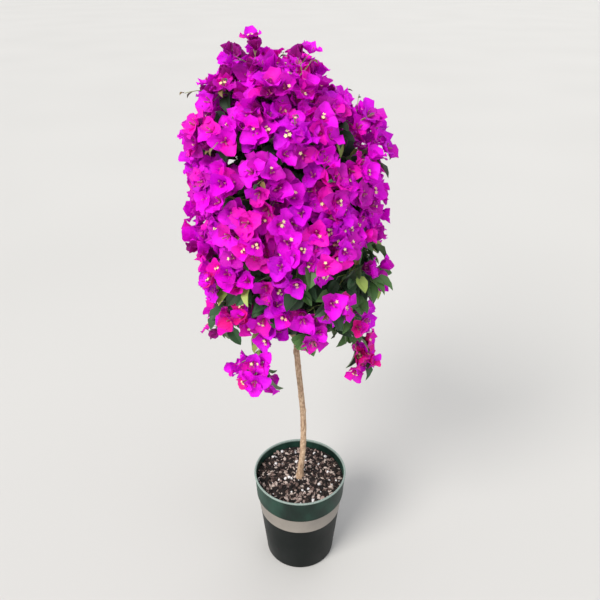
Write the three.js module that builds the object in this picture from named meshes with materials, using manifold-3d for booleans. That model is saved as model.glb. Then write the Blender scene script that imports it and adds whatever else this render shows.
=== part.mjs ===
// A bougainvillea grown as a standard, one bare stem under a full crown, in its nursery pot.
// Millimetres, +Z up, front towards -Y. The origin is the middle of the pot's flat underside.
import * as THREE from "three";
import { mergeVertices } from "three/addons/utils/BufferGeometryUtils.js";
import Module from "manifold-3d";

const wasm = await Module();
wasm.setup();

// Gap between pieces that touch
const clearance = 0.3;

// Pot: a blow-moulded can with a deep smooth collar under a narrow lip
const potHeight = 305;
const rimRadius = 135;
const baseRadius = 102;
const potWall = 3;
const lipHeight = 6;
const lipOverhang = 2.5;
const lipRounding = 1;
const collarHeight = 74;
const collarTaper = 3.5;
const collarStep = 4;
const baseChamfer = 4;
const potSides = 40;

// Plain sleeve that is wrapped round the body under the collar
const bandHeight = 50;
const bandDrop = 2;
const bandThickness = 0.8;

// Potting mix, filled to a little under the rim
const soilDepthBelowRim = 25;

// Stem: slim, with a shallow S and a small flare at its foot
const forkHeight = 842;
const stemFootRadius = 8.6;
const stemTopRadius = 7;
const flareRadius = 4.5;
const flareRise = 14;
const flareLobes = 5;
const flareLobing = 0.3;
const stemSway = { side: 10, sideAngle: 5.3, front: 7, frontAngle: 3.6 };
const stemSides = 12;
const stemSteps = 16;
const stemStepGrowth = 1.3;

// Boughs: tapering limbs that leave the top of the stem
const boughSides = 7;
const boughSteps = 6;
const boughFootRadius = 5.2;
const boughTipRadius = 3.6;
const leaderTipRadius = 4;
const boughBend = { out: 0.6, up: 0.34 };
const leaderBend = 0.5;

// Crown: an egg, wider low, that leans a little to one side at its top
const crownMiddle = 1106;
const crownHalfHeight = 322;
const crownRadius = 218;
const crownPower = 2.4;
const crownNarrowing = 0.14;
const crownOffset = -12;
const crownLean = -42;
const crownLeanPower = 1.5;
const crownLumps = [
  { size: 0.08, round: 3, up: 5 },
  { size: 0.06, round: 5, up: -4 },
];

// Shoots that have outgrown the egg: sprigs that stand over its top, and sprays that droop at its skirt
const strays = [
  { azimuth: 215, out: 50, height: 1472 },
  { azimuth: 300, out: 55, height: 1456 },
  { azimuth: 5, out: 105, height: 1434 },
  { azimuth: 120, out: 80, height: 1452 },
  { azimuth: 348, out: 170, height: 1325 },
  { azimuth: 238, out: 188, height: 768 },
  { azimuth: 335, out: 205, height: 792 },
  { azimuth: 70, out: 190, height: 780 },
  { azimuth: 150, out: 200, height: 796 },
];

// Two rings of foliage masses, and one mass on the leader
const lowerRing = {
  sides: ["front_right", "right", "back", "left", "front_left"],
  turn: -54,
  footHeight: 752,
  footStep: 12,
  tip: { out: 72, height: 862 },
  stemLength: 80,
};
const upperRing = {
  sides: ["front", "right", "back", "left"],
  turn: -90,
  footHeight: 808,
  footStep: 8,
  tip: { out: 66, height: 1020 },
  stemLength: 112,
};
const topMass = { tipHeight: 1215, stemLength: 112 };

// Twigs, bract clusters and leaves, larger than life where they are fewer
const shootCount = 66;
const targetSeed = 41;
const shootSeed = 1000;
const straySeed = 1200;
const stemletFootRadius = 4;
const stemletTipRadius = 3.2;
const shootRadius = 3;
const shootShoulder = 14;
const shootTipSink = 4;
const clusterRadius = 46;
const clusterDepth = 35;
const clusterDish = 0.74;
const clusterNotch = 0.52;
const clusterNotchHeight = 0.86;
const clustersRoundTip = 3;
const endCluster = { back: 2, tilt: 0.25 };
const sideCluster = { back: 10, step: 12, most: 0.7, tilt: 1.15 };
const sideLeaf = { back: 26, step: 20, most: 0.9, tilt: 1.25 };
const blossom = { from: 760, over: 420, least: 0.3, most: 0.95 };
const leafLength = 68;
const leafWidth = 38;
const leafThickness = 3;
const leafWidest = 0.42;
const leavesPerShoot = 2;
const sizesTried = [1, 0.7];
const turnsTried = [0, 0.8];
const rootSink = 1;
const overlapShare = 0.01;
const forkOverlapShare = 0.5;
const spaceMargin = 1.2;
const limbMargin = 1;
const reachJitter = 0.17;
const fork = { slope: 0.7, first: 0.2, last: 0.8 };
const poleShare = 0.16;

// Worked out from the sizes above
const soilTop = potHeight - soilDepthBelowRim;
const collarFoot = potHeight - collarHeight;
const collarRadius = rimRadius - lipOverhang;
const bodyTopRadius = collarRadius - collarTaper - collarStep;
const goldenAngle = Math.PI * (3 - Math.sqrt(5));
const sideReference = new THREE.Vector3(0.31, 0.17, 0.94);

const vec = (x, y, z) => new THREE.Vector3(x, y, z);
const atAzimuth = (degrees, out, height) => {
  const a = THREE.MathUtils.degToRad(degrees);
  return vec(out * Math.cos(a), out * Math.sin(a), height);
};

// A seeded source of numbers from 0 to 1, the same on every run
function seeded(seed) {
  let state = seed >>> 0;
  return () => {
    state = (Math.imul(state, 1664525) + 1013904223) >>> 0;
    return state / 4294967296;
  };
}

// A closed geometry as a solid that can be joined and cut
function solidOf(geometry) {
  const bare = geometry.index ? geometry.toNonIndexed() : geometry.clone();
  bare.deleteAttribute("normal");
  bare.deleteAttribute("uv");
  const merged = mergeVertices(bare, 1e-4);
  const vertProperties = merged.attributes.position.array;
  const triVerts = merged.index.array;
  return new wasm.Manifold(new wasm.Mesh({ numProp: 3, vertProperties, triVerts }));
}

// A solid as a geometry again: its largest body, so sealed hollows are filled and scraps dropped
function geometryOf(solid) {
  const bodies = solid.decompose().sort((a, b) => b.volume() - a.volume());
  const mesh = bodies[0].getMesh();
  const geometry = new THREE.BufferGeometry();
  geometry.setAttribute("position", new THREE.BufferAttribute(mesh.vertProperties, 3));
  geometry.setIndex(new THREE.BufferAttribute(mesh.triVerts, 1));
  return geometry;
}

// A profile of radius and height turned about the Z axis
function turned(profile) {
  const points = profile.map(([r, z]) => new THREE.Vector2(r, z));
  return new THREE.LatheGeometry(points, potSides).rotateX(Math.PI / 2);
}

// Radius of the pot's body and of its collar on the outside
const bodyRadius = (z) => baseRadius + ((bodyTopRadius - baseRadius) * z) / collarFoot;
const collarRadiusAt = (z) =>
  collarRadius - (collarTaper * (potHeight - lipHeight - z)) / (collarHeight - lipHeight);

function potGeometry() {
  const lipFoot = potHeight - lipHeight;
  const stepFoot = collarFoot - collarStep;
  return turned([
    [0, 0],
    [baseRadius - baseChamfer, 0],
    [bodyRadius(baseChamfer), baseChamfer],
    [bodyRadius(stepFoot), stepFoot],
    [collarRadiusAt(collarFoot), collarFoot],
    [collarRadius, lipFoot],
    [rimRadius, lipFoot + lipRounding],
    [rimRadius, potHeight - lipRounding],
    [rimRadius - lipRounding, potHeight],
    [collarRadius - potWall, potHeight],
    [collarRadiusAt(collarFoot) - potWall, collarFoot],
    [bodyRadius(stepFoot) - potWall, stepFoot],
    [bodyRadius(potWall) - potWall, potWall],
    [0, potWall],
  ]);
}

function bandGeometry() {
  const top = collarFoot - collarStep - bandDrop;
  const foot = top - bandHeight;
  const ring = (z, out) => [bodyRadius(z) + clearance + out, z];
  const corners = [ring(foot, 0), ring(foot, bandThickness), ring(top, bandThickness), ring(top, 0)];
  return turned([...corners, corners[0]]);
}

function soilGeometry() {
  const inset = potWall + clearance;
  return turned([
    [0, inset],
    [bodyRadius(inset) - inset, inset],
    [bodyRadius(collarFoot - collarStep) - inset, collarFoot - collarStep],
    [collarRadiusAt(collarFoot) - inset, collarFoot],
    [collarRadiusAt(soilTop) - inset, soilTop],
    [0, soilTop],
  ]);
}

// The stem's middle at a height
function stemMiddle(z) {
  const t = (z - soilTop) / (forkHeight - soilTop);
  const side = stemSway.side * Math.sin(stemSway.sideAngle * t);
  return vec(side, stemSway.front * Math.sin(stemSway.frontAngle * t), z);
}

// The stem: horizontal rings about its middle, so both of its ends are flat. The foot flares in lobes.
function stemGeometry(grow = 0) {
  const foot = soilTop + clearance;
  const height = forkHeight - foot;
  const geometry = new THREE.CylinderGeometry(1, 1, 1, stemSides, stemSteps).rotateX(Math.PI / 2);
  const position = geometry.attributes.position;
  for (let i = 0; i < position.count; i++) {
    const t = position.getZ(i) + 0.5;
    const z = foot + height * t ** stemStepGrowth;
    const azimuth = Math.atan2(position.getY(i), position.getX(i));
    const flare = flareRadius * Math.exp(-(z - foot) / flareRise);
    const lobes = 1 + flareLobing * Math.cos(flareLobes * azimuth);
    const radius = stemFootRadius + (stemTopRadius - stemFootRadius) * t + flare * lobes + grow;
    const middle = stemMiddle(z);
    const x = middle.x + radius * position.getX(i);
    const y = middle.y + radius * position.getY(i);
    position.setXYZ(i, x, y, z);
  }
  return geometry;
}

// A limb of round section that tapers along a curve
function limbGeometry(curve, footRadius, tipRadius) {
  const geometry = new THREE.CylinderGeometry(1, 1, 1, boughSides, boughSteps);
  const frames = curve.computeFrenetFrames(boughSteps);
  const position = geometry.attributes.position;
  for (let i = 0; i < position.count; i++) {
    const t = position.getY(i) + 0.5;
    const step = Math.round(t * boughSteps);
    const radius = footRadius + (tipRadius - footRadius) * t;
    const point = curve.getPointAt(t);
    point.addScaledVector(frames.normals[step], radius * position.getZ(i));
    point.addScaledVector(frames.binormals[step], radius * position.getX(i));
    position.setXYZ(i, point.x, point.y, point.z);
  }
  return geometry;
}

// The crown's skin, as the point in a direction from the crown's middle
function skinPoint(direction, reach) {
  const across = Math.hypot(direction.x, direction.y);
  const azimuth = Math.atan2(direction.y, direction.x);
  const scale = (across ** crownPower + Math.abs(direction.z) ** crownPower) ** (-1 / crownPower);
  const rise = scale * direction.z;
  const lumps = crownLumps.map((lump) => lump.size * Math.sin(lump.round * azimuth + lump.up * rise));
  const lumpy = 1 + lumps[0] + lumps[1];
  const out = crownRadius * (1 - crownNarrowing * rise) * scale * across * lumpy * reach;
  const z = crownMiddle + crownHalfHeight * rise * reach;
  const middle = crownAxis(z);
  return vec(middle.x + out * Math.cos(azimuth), middle.y + out * Math.sin(azimuth), z);
}

// The crown's own middle line, which leans at the top
function crownAxis(z) {
  const rise = Math.max(0, (z - crownMiddle + crownHalfHeight) / (2 * crownHalfHeight));
  return vec(crownOffset + crownLean * rise ** crownLeanPower, 0, z);
}

// A bough leaves its foot outwards, then bends up to its tip. The leader goes on from the stem's end.
function boughCurve(foot, tip, isLeader) {
  const along = tip.clone().sub(foot);
  const { out, up } = boughBend;
  const bend = isLeader ? vec(0, 0, leaderBend * along.z) : vec(out * along.x, out * along.y, up * along.z);
  return new THREE.QuadraticBezierCurve3(foot, foot.clone().add(bend), tip);
}

// A mass: its bough's curve, the root of its stem just past the bough's tip, and its hub further on
function placeMass(name, foot, tip, stemLength) {
  const bough = boughCurve(foot, tip, name === "top");
  const heading = bough.getTangentAt(1);
  const root = tip.clone().addScaledVector(heading, clearance);
  const hub = root.clone().addScaledVector(heading, stemLength);
  return { name, bough, root, hub };
}

// All the masses, ring by ring and then the top
function placeMasses() {
  const placed = [];
  for (const [level, ring] of [["lower", lowerRing], ["upper", upperRing]]) {
    const count = ring.sides.length;
    ring.sides.forEach((side, k) => {
      const rank = count % 2 ? (2 * k) % count : 2 * (k % 2) + Math.floor(k / 2);
      const foot = stemMiddle(ring.footHeight + ring.footStep * rank);
      const tip = atAzimuth(ring.turn + (360 * k) / count, ring.tip.out, ring.tip.height);
      tip.x += crownAxis(ring.tip.height).x;
      placed.push(placeMass(level + "_" + side, foot, tip, ring.stemLength));
    });
  }
  const foot = stemMiddle(forkHeight + clearance);
  placed.push(placeMass("top", foot, crownAxis(topMass.tipHeight), topMass.stemLength));
  return placed;
}

// True where a point lies in the space of one mass: nearer to its hub than to any other hub
function inSpace(point, mass, masses, margin) {
  return masses.every((other) => {
    if (other === mass) return true;
    const across = other.hub.clone().sub(mass.hub);
    const middle = mass.hub.clone().addScaledVector(across, 0.5);
    return point.clone().sub(middle).dot(across.normalize()) < -margin;
  });
}

// Turns a geometry made along +Y so that it stands on a point and looks in a direction
function aimed(geometry, root, direction, roll) {
  const turn = new THREE.Quaternion().setFromUnitVectors(vec(0, 1, 0), direction);
  return geometry.rotateY(roll).applyQuaternion(turn).translate(root.x, root.y, root.z);
}

// The short stem of a mass: three-sided, with a flat foot against its bough's tip
function stemletGeometry(from, to) {
  const along = to.clone().sub(from);
  const length = along.length();
  const geometry = new THREE.CylinderGeometry(stemletTipRadius, stemletFootRadius, length, 3, 1);
  return aimed(geometry.translate(0, length / 2, 0), from, along.normalize(), 0);
}

// A closed shape along +Y with a pointed root, one ring of corners and an end point
function pointedGeometry(corners, root, end, corner) {
  const geometry = new THREE.SphereGeometry(1, corners, 2);
  const position = geometry.attributes.position;
  for (let i = 0; i < position.count; i++) {
    const [x, y, z] = [position.getX(i), position.getY(i), position.getZ(i)];
    if (y > 0.5) position.setXYZ(i, 0, end, 0);
    else if (y < -0.5) position.setXYZ(i, 0, root, 0);
    else position.setXYZ(i, ...corner(x, z));
  }
  return geometry;
}

// A three-sided twig that tapers from just above its root to its tip
function twigGeometry(from, to) {
  const along = to.clone().sub(from);
  const length = along.length();
  const shoulder = Math.min(shootShoulder, length / 2);
  const corner = (x, z) => [x * shootRadius, shoulder, z * shootRadius];
  const geometry = pointedGeometry(3, 0, length + shootTipSink, corner);
  return aimed(geometry, from, along.normalize(), 0);
}

// A cluster of three bracts: a cup with three pointed lobes on a narrow foot
function clusterGeometry(root, direction, size, roll) {
  const depth = clusterDepth * size;
  const geometry = pointedGeometry(6, -rootSink, clusterDish * depth, (x, z) => {
    const lobe = Math.cos(3 * Math.atan2(z, x)) > 0;
    const out = clusterRadius * size * (lobe ? 1 : clusterNotch);
    return [x * out, lobe ? depth : clusterNotchHeight * depth, z * out];
  });
  return aimed(geometry, root, direction, roll);
}

// A leaf, pointed at both ends and widest below its middle, with a keel under its midrib
function leafGeometry(root, direction, size, roll) {
  const length = leafLength * size;
  const geometry = pointedGeometry(3, -rootSink, length, (x, z) => {
    const keel = x < 0;
    const out = keel ? 0 : (Math.sign(z) * size * leafWidth) / 2;
    return [keel ? -leafThickness : 0, leafWidest * length, out];
  });
  return aimed(geometry, root, direction, roll);
}

// The direction that leans away from an axis by a tilt, at an azimuth round it
function leaning(axis, tilt, azimuth) {
  const side = sideReference.clone().cross(axis).normalize();
  side.applyAxisAngle(axis, azimuth);
  return axis.clone().multiplyScalar(Math.cos(tilt)).addScaledVector(side, Math.sin(tilt)).normalize();
}

// Where a shoot that is to end at a target leaves a twig: some way back, so that it forks forwards
function branchPoint(twig, target) {
  const axis = twig.to.clone().sub(twig.from);
  const length = axis.length();
  axis.normalize();
  const offset = target.clone().sub(twig.from);
  const along = offset.dot(axis);
  const beside = offset.addScaledVector(axis, -along).length();
  const at = THREE.MathUtils.clamp(along - fork.slope * beside, fork.first * length, fork.last * length);
  return twig.from.clone().addScaledVector(axis, at);
}

// The fork that gives the shortest shoot to a target
function nearestFork(twigs, target) {
  const forks = twigs.map((twig) => branchPoint(twig, target));
  return forks.reduce((best, next) => (next.distanceTo(target) < best.distanceTo(target) ? next : best));
}

// Share of the growth that is blossom: most of it high up, less of it in the skirt
const blossomShare = (z) =>
  THREE.MathUtils.clamp((z - blossom.from) / blossom.over, blossom.least, blossom.most);

// Ends of the shoots, spread evenly over the crown's skin, fewer to each height near its poles, and
// then those of the strays
function shootTargets() {
  const random = seeded(targetSeed);
  const targets = [];
  for (let k = 0; k < shootCount; k++) {
    const u = 1 - (2 * (k + 0.5)) / shootCount;
    const z = (1 - poleShare) * u + poleShare * u ** 3;
    const across = Math.sqrt(1 - z * z);
    const azimuth = k * goldenAngle;
    const direction = vec(across * Math.cos(azimuth), across * Math.sin(azimuth), z);
    const reach = 1 + reachJitter * (random() - 0.5);
    targets.push({ skin: skinPoint(direction, reach), seed: shootSeed + k });
  }
  strays.forEach(({ azimuth, out, height }, k) => {
    const skin = atAzimuth(azimuth, out, height);
    skin.x += crownAxis(height).x;
    targets.push({ skin, seed: straySeed + k });
  });
  return targets;
}

// One mass: a stem from the bough's tip, shoots to the skin, and bracts and leaves fused on them
function massGeometry(mass, masses, targets, limbs) {
  let grown = solidOf(stemletGeometry(mass.root, mass.hub));
  const twigs = [{ from: mass.root, to: mass.hub }];

  // Fuses a piece on, unless it leaves the mass's space, meets a limb or runs into its neighbours
  const fuse = (geometry, sharedMost = overlapShare) => {
    const points = geometry.attributes.position;
    for (let i = 0; i < points.count; i++) {
      const point = new THREE.Vector3().fromBufferAttribute(points, i);
      if (!inSpace(point, mass, masses, spaceMargin)) return false;
    }
    const piece = solidOf(geometry);
    if (piece.intersect(limbs).volume() > 0) return false;
    if (piece.intersect(grown).volume() > sharedMost * piece.volume()) return false;
    grown = grown.add(piece);
    return true;
  };

  for (const { skin, seed } of targets) {
    const random = seeded(seed);
    const inward = mass.hub.clone().sub(skin).normalize();
    const end = skin.clone().addScaledVector(inward, clusterDepth);
    if (!inSpace(end, mass, masses, spaceMargin + shootRadius)) continue;
    const start = nearestFork(twigs, end);
    const along = end.clone().sub(start);
    const length = along.length();
    const axis = along.normalize();
    if (!fuse(twigGeometry(start, end), forkOverlapShare)) continue;
    twigs.push({ from: start, to: end });

    // Puts a bract cluster or a leaf on the shoot, made smaller or turned aside until it fits
    const attach = (shape, back, tilt, azimuth) => {
      const foot = end.clone().addScaledVector(axis, -back);
      const roll = random() * 2;
      for (const size of sizesTried) {
        for (const aside of turnsTried) {
          if (fuse(shape(foot, leaning(axis, tilt, azimuth + aside), size, roll))) return;
        }
      }
    };
    const turn = random() * Math.PI * 2;
    const share = blossomShare(end.z);
    const backBy = (place, k) => Math.min(place.back + place.step * k, place.most * length);
    attach(clusterGeometry, endCluster.back, endCluster.tilt, turn);
    for (let k = 0; k < clustersRoundTip; k++) {
      const shape = random() < share ? clusterGeometry : leafGeometry;
      const azimuth = turn + (k * 2 * Math.PI) / clustersRoundTip;
      attach(shape, backBy(sideCluster, k), sideCluster.tilt, azimuth);
    }
    for (let k = 0; k < leavesPerShoot; k++) {
      attach(leafGeometry, backBy(sideLeaf, k), sideLeaf.tilt, turn + 1 + k * goldenAngle);
    }
  }
  return geometryOf(grown);
}

// Finishes
const finish = (color, roughness) => new THREE.MeshStandardMaterial({ color, roughness, metalness: 0 });
const potPlastic = finish(0x24403a, 0.5);
const sleevePlastic = finish(0x8a7d74, 0.6);
const pottingMix = finish(0x2b211b, 1);
const bark = finish(0x9b8266, 0.85);
const blossomAndLeaf = finish(0xc814c0, 0.7);
const leafAndBlossom = finish(0x6f7a34, 0.7);

const plant = new THREE.Group();

function addPiece(name, geometry, material) {
  const piece = new THREE.Mesh(geometry, material);
  piece.name = name;
  plant.add(piece);
}

// Pot, sleeve and potting mix
addPiece("pot", potGeometry(), potPlastic);
addPiece("pot_band", bandGeometry(), sleevePlastic);
addPiece("potting_mix", soilGeometry(), pottingMix);

// Stem and leader first, because the side boughs are cut clear of both
const masses = placeMasses();
const leader = masses.find((mass) => mass.name === "top");
const leaderLimb = (grow) => limbGeometry(leader.bough, stemTopRadius + grow, leaderTipRadius + grow);
let taken = solidOf(stemGeometry(clearance)).add(solidOf(leaderLimb(clearance)));
let limbs = solidOf(stemGeometry(limbMargin)).add(solidOf(leaderLimb(limbMargin)));
addPiece("stem", stemGeometry(), bark);
addPiece("bough_top", leaderLimb(0), bark);

// Side boughs, each cut clear of the limbs before it
for (const mass of masses) {
  if (mass === leader) continue;
  const sideLimb = (grow) => limbGeometry(mass.bough, boughFootRadius + grow, boughTipRadius + grow);
  addPiece("bough_" + mass.name, geometryOf(solidOf(sideLimb(0)).subtract(taken)), bark);
  taken = taken.add(solidOf(sideLimb(clearance)));
  limbs = limbs.add(solidOf(sideLimb(limbMargin)));
}

// Foliage masses
const targets = shootTargets();
for (const mass of masses) {
  const material = mass.name.startsWith("lower") ? leafAndBlossom : blossomAndLeaf;
  addPiece("foliage_" + mass.name, massGeometry(mass, masses, targets, limbs), material);
}

export default plant;
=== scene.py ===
"""A potted bougainvillea standard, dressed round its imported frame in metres, in the frame's own axes."""

import math

import bpy
import numpy as np
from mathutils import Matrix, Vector, noise


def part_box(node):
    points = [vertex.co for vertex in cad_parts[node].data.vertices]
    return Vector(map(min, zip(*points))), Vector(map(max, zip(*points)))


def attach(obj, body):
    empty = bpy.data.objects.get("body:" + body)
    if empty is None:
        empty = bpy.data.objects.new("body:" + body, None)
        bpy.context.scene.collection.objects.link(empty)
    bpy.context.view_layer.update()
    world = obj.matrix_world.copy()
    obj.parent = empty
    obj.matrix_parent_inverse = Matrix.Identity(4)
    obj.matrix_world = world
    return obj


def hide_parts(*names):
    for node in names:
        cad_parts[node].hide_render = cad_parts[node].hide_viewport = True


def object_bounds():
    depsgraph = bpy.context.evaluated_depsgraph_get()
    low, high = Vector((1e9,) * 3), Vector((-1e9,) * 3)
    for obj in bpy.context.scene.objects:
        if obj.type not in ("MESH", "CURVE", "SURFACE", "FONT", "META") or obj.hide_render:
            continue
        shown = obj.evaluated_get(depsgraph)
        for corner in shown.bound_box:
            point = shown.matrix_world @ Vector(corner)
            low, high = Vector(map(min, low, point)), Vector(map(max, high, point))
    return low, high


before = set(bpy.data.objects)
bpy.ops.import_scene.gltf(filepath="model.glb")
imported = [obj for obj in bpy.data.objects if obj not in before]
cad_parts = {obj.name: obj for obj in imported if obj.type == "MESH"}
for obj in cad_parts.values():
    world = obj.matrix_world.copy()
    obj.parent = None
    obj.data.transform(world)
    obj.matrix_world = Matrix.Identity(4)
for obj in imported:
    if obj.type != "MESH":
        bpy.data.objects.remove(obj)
cad_box = [list(corner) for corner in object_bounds()]

# Nursery pot: a blow-moulded polyethylene can, one wall all round. Its deep smooth collar stands out
# over the body, its lip is rolled outwards, and the two halves of the mould leave a fine parting line.
mm = 0.001
pot_low, pot_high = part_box("pot")
pot_height = pot_high.z
rim_radius = (pot_high.x - pot_low.x) / 2
base_radius = 102 * mm
foot_flat = 9 * mm
foot_bevel = 4 * mm
pot_wall = 3 * mm
lip_height = 6 * mm
lip_overhang = 2.5 * mm
lip_angles = (0.35, 0.8, 1.3, 1.85, 2.4, 2.8)
lip_inner_drop = 1.5 * mm
# How far below the rim the painted highlight on the lip fades in, and where it is full.
lip_highlight_band = (7 * mm, 2.5 * mm)
collar_height = 74 * mm
collar_taper = 3.5 * mm
collar_step = 4 * mm
collar_foot = pot_height - collar_height
collar_radius = rim_radius - lip_overhang
body_top_radius = collar_radius - collar_taper - collar_step
pot_segments = 128
pot_rounding = 1.2 * mm
parting_line = {"width": 1.6 * mm, "height": 0.35 * mm, "from": 5 * mm, "degrees": (-52, 128)}


def body_radius(z):
    return base_radius + (body_top_radius - base_radius) * z / collar_foot


def collar_radius_at(z):
    return collar_radius - collar_taper * (pot_height - lip_height - z) / (collar_height - lip_height)


def start_alone():
    """Leaves edit mode and selects nothing, so that the next operator acts on the new piece alone."""
    if bpy.context.object and bpy.context.object.mode != "OBJECT":
        bpy.ops.object.mode_set(mode="OBJECT")
    bpy.ops.object.select_all(action="DESELECT")


def turned(name, profile, segments, floor="NGON"):
    """A disc or ring at a profile's first radius and height, extruded ring by ring along the rest."""
    start_alone()
    radius, height = profile[0]
    bpy.ops.mesh.primitive_circle_add(
        vertices=segments, radius=radius, fill_type=floor, location=(0, 0, height)
    )
    piece = bpy.context.object
    piece.name = name
    bpy.ops.object.transform_apply(location=True, rotation=False, scale=False)
    bpy.ops.object.mode_set(mode="EDIT")
    bpy.ops.mesh.select_all(action="SELECT")
    for (r0, z0), (r1, z1) in zip(profile, profile[1:]):
        bpy.ops.mesh.extrude_region_move(TRANSFORM_OT_translate={"value": (0, 0, z1 - z0)})
        bpy.ops.transform.resize(value=(r1 / r0, r1 / r0, 1), center_override=(0, 0, z1))
    bpy.ops.mesh.select_all(action="SELECT")
    bpy.ops.mesh.normals_make_consistent(inside=False)
    bpy.ops.object.mode_set(mode="OBJECT")
    return piece


def smooth(piece, degrees=35):
    start_alone()
    piece.select_set(True)
    bpy.context.view_layer.objects.active = piece
    bpy.ops.object.shade_smooth_by_angle(angle=math.radians(degrees))
    return piece


def pot_profile():
    """Radius and height of the pot from its underside up the outside and down inside to its floor."""
    lip_foot = pot_height - lip_height
    step_foot = collar_foot - collar_step
    lip = [
        (collar_radius + lip_overhang * math.sin(a), lip_foot + lip_height * (1 - math.cos(a)) / 2)
        for a in lip_angles
    ]
    return [
        (base_radius - foot_flat, 0),
        (base_radius - foot_bevel, 0),
        (body_radius(foot_bevel), foot_bevel),
        (body_radius(step_foot / 2), step_foot / 2),
        (body_radius(step_foot), step_foot),
        (collar_radius_at(collar_foot), collar_foot),
        (collar_radius, lip_foot),
        *lip,
        (collar_radius - pot_wall / 2, pot_height),
        (collar_radius - pot_wall, pot_height - lip_inner_drop),
        (collar_radius_at(collar_foot) - pot_wall, collar_foot),
        (body_radius(step_foot) - pot_wall, step_foot),
        (body_radius(pot_wall) - pot_wall, pot_wall),
        (base_radius / 2, pot_wall),
    ]


def raise_parting_line(vertex):
    """Lifts a point of the pot's outside by as much of the parting line as passes near it."""
    azimuth = math.atan2(vertex.co.y, vertex.co.x)
    radius = math.hypot(vertex.co.x, vertex.co.y)
    is_outside = radius > body_radius(vertex.co.z) - pot_wall / 2
    if is_outside and parting_line["from"] < vertex.co.z < pot_height - lip_height:
        for degrees in parting_line["degrees"]:
            aside = radius * math.remainder(azimuth - math.radians(degrees), math.tau)
            lift = parting_line["height"] * math.exp(-((aside / parting_line["width"]) ** 2))
            vertex.co.x += lift * math.cos(azimuth)
            vertex.co.y += lift * math.sin(azimuth)


pot = turned("nursery_pot", pot_profile(), pot_segments)
rounding = pot.modifiers.new("rounded edges", "BEVEL")
rounding.width = pot_rounding
rounding.segments = 3
rounding.limit_method = "ANGLE"
rounding.angle_limit = 0.3
bpy.ops.object.modifier_apply(modifier=rounding.name)
for vertex in pot.data.vertices:
    raise_parting_line(vertex)
smooth(pot)


def linear(hex_colour):
    """An sRGB hex colour as the linear RGBA that sockets hold."""
    values = [int(hex_colour[k : k + 2], 16) / 255 for k in (0, 2, 4)]
    return [v / 12.92 if v <= 0.04045 else ((v + 0.055) / 1.055) ** 2.4 for v in values] + [1]


def feed(node, inputs):
    """Fills a node's inputs, each with a value, a socket, or a node whose first live output it takes."""
    for key, value in inputs.items():
        if isinstance(value, bpy.types.Node):
            value = next(socket for socket in value.outputs if socket.enabled)
        if isinstance(value, bpy.types.NodeSocket):
            node.id_data.links.new(value, node.inputs[key])
        else:
            node.inputs[key].default_value = value


def add_node(material, kind, inputs, steps=(), **settings):
    """Adds a node with its settings and inputs. Steps are a colour ramp's places and hex colours."""
    made = material.node_tree.nodes.new("ShaderNode" + kind)
    for key, value in settings.items():
        setattr(made, key, value)
    for k, (place, hex_colour) in enumerate(steps):
        stops = made.color_ramp.elements
        stop = stops[0] if k == 0 else stops[-1] if k == len(steps) - 1 else stops.new(place)
        stop.position = place
        stop.color = linear(hex_colour)
    feed(made, inputs)
    return made


def new_material(name, roughness, ior=1.5):
    """A material with its shader, ready for its colour. Returns both and the Object coordinates."""
    material = bpy.data.materials.new(name)
    material.use_nodes = True
    shader = material.node_tree.nodes["Principled BSDF"]
    feed(shader, {"Roughness": roughness, "IOR": ior})
    return material, shader, add_node(material, "TexCoord", {}).outputs["Object"]


def pot_plastic():
    """Dark green blow-moulded polyethylene: a dull sheen, dusty in soft patches, and a painted highlight,
    the top of the lip painted pale in specks.
    """
    material, shader, place = new_material("polyethylene, blow-moulded, dusty", 0.5, 1.45)
    patch = (1 / (62 * mm), 1 / (62 * mm), 1 / (110 * mm))
    patches = add_node(material, "Mapping", {"Vector": place, "Scale": patch})
    dust = add_node(material, "TexNoise", {"Vector": patches, "Scale": 1, "Detail": 4})
    grit = {"Vector": place, "Scale": 1 / (2.4 * mm), "Detail": 3, "Roughness": 0.7}
    specks = add_node(material, "TexNoise", grit)
    greens = [(0.34, "10221C"), (0.5, "183028"), (0.68, "26473B")]
    green = add_node(material, "ValToRGB", {"Fac": dust}, greens)
    height = add_node(material, "SeparateXYZ", {"Vector": place}).outputs["Z"]
    step = {"Value": height, "From Min": collar_foot - collar_step, "From Max": collar_foot}
    on_collar = add_node(material, "MapRange", step)
    body = add_node(material, "Mix", {0: on_collar, 6: linear("060E0D"), 7: green}, data_type="RGBA")
    # Painted highlight: the top few millimetres of the rolled lip are painted pale, in specks, for the
    # light along its top.
    highlight_from, highlight_to = (pot_height - drop for drop in lip_highlight_band)
    on_lip = add_node(material, "MapRange", {"Value": height, "From Min": highlight_from, "From Max": highlight_to})
    lip_highlight = add_node(material, "Math", {0: on_lip, 1: specks}, operation="MULTIPLY")
    coloured = add_node(material, "Mix", {0: lip_highlight, 6: body, 7: linear("C2D4CC")}, data_type="RGBA")
    sheen = add_node(material, "MapRange", {"Value": dust, "To Min": 0.34, "To Max": 0.62})
    relief = add_node(material, "Bump", {"Height": specks, "Strength": 0.12, "Distance": 0.3 * mm})
    feed(shader, {"Base Color": coloured, "Specular IOR Level": 0.2, "Roughness": sheen, "Normal": relief})
    return material


pot.data.materials.append(pot_plastic())
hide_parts("pot")
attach(pot, "root")

# Sleeve: a plain strip of thin plastic film that is wrapped once round the body under the collar.
# It follows the taper, its ends overlap behind, and handling has left it dusty and a little slack.
band_low, band_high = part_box("pot_band")
film_thickness = 0.5 * mm
film_slack = 0.35 * mm
film_stand_off = 0.3 * mm
film_waves = {"round": 6, "per_metre": 30}
overlap = {"azimuth": math.radians(75), "width": math.radians(16)}
sleeve_segments = 160
sleeve_steps = 8


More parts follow.
